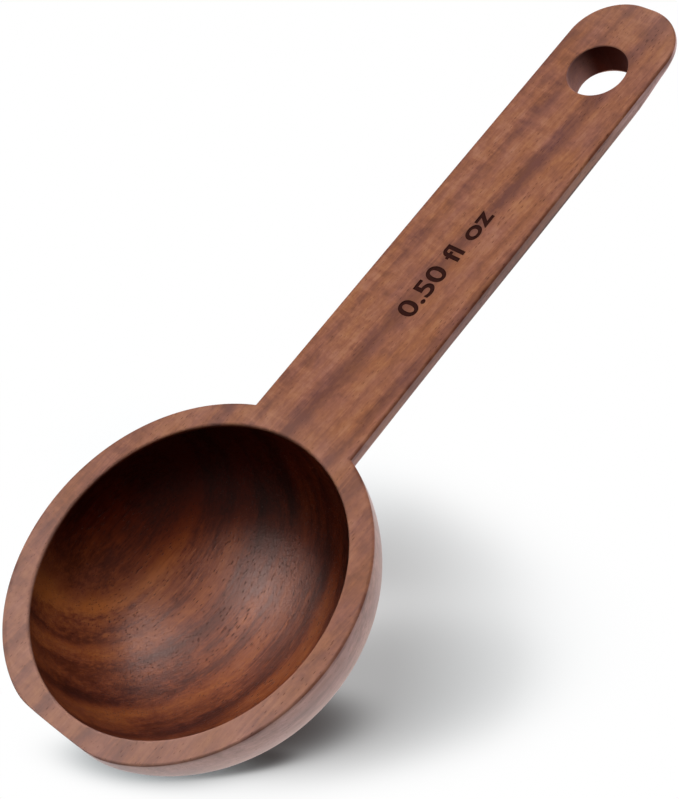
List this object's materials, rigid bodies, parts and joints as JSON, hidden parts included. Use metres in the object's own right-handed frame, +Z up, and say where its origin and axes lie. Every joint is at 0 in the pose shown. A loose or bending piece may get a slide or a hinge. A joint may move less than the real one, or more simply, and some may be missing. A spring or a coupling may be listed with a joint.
{
  "type": "measuring spoon",
  "caption": "Wooden measuring spoon with a deep round bowl, a thick flat rim, a flat-topped round-backed handle and a hanging hole.",
  "frame": {"origin": "middle of the spoon's footprint, at the level of the bowl's lowest point", "axes": "+X along the handle, from the bowl to the hanging hole; +Z up, square to the flat top of the rim and handle"},
  "size_m": [0.1182, 0.0482, 0.0186],
  "materials": {
    "walnut": "oiled walnut, satin, with fine open pores along the handle"
  },
  "bodies": {
    "root": {"bowl": "walnut", "handle": "walnut"}
  },
  "joints": []
}
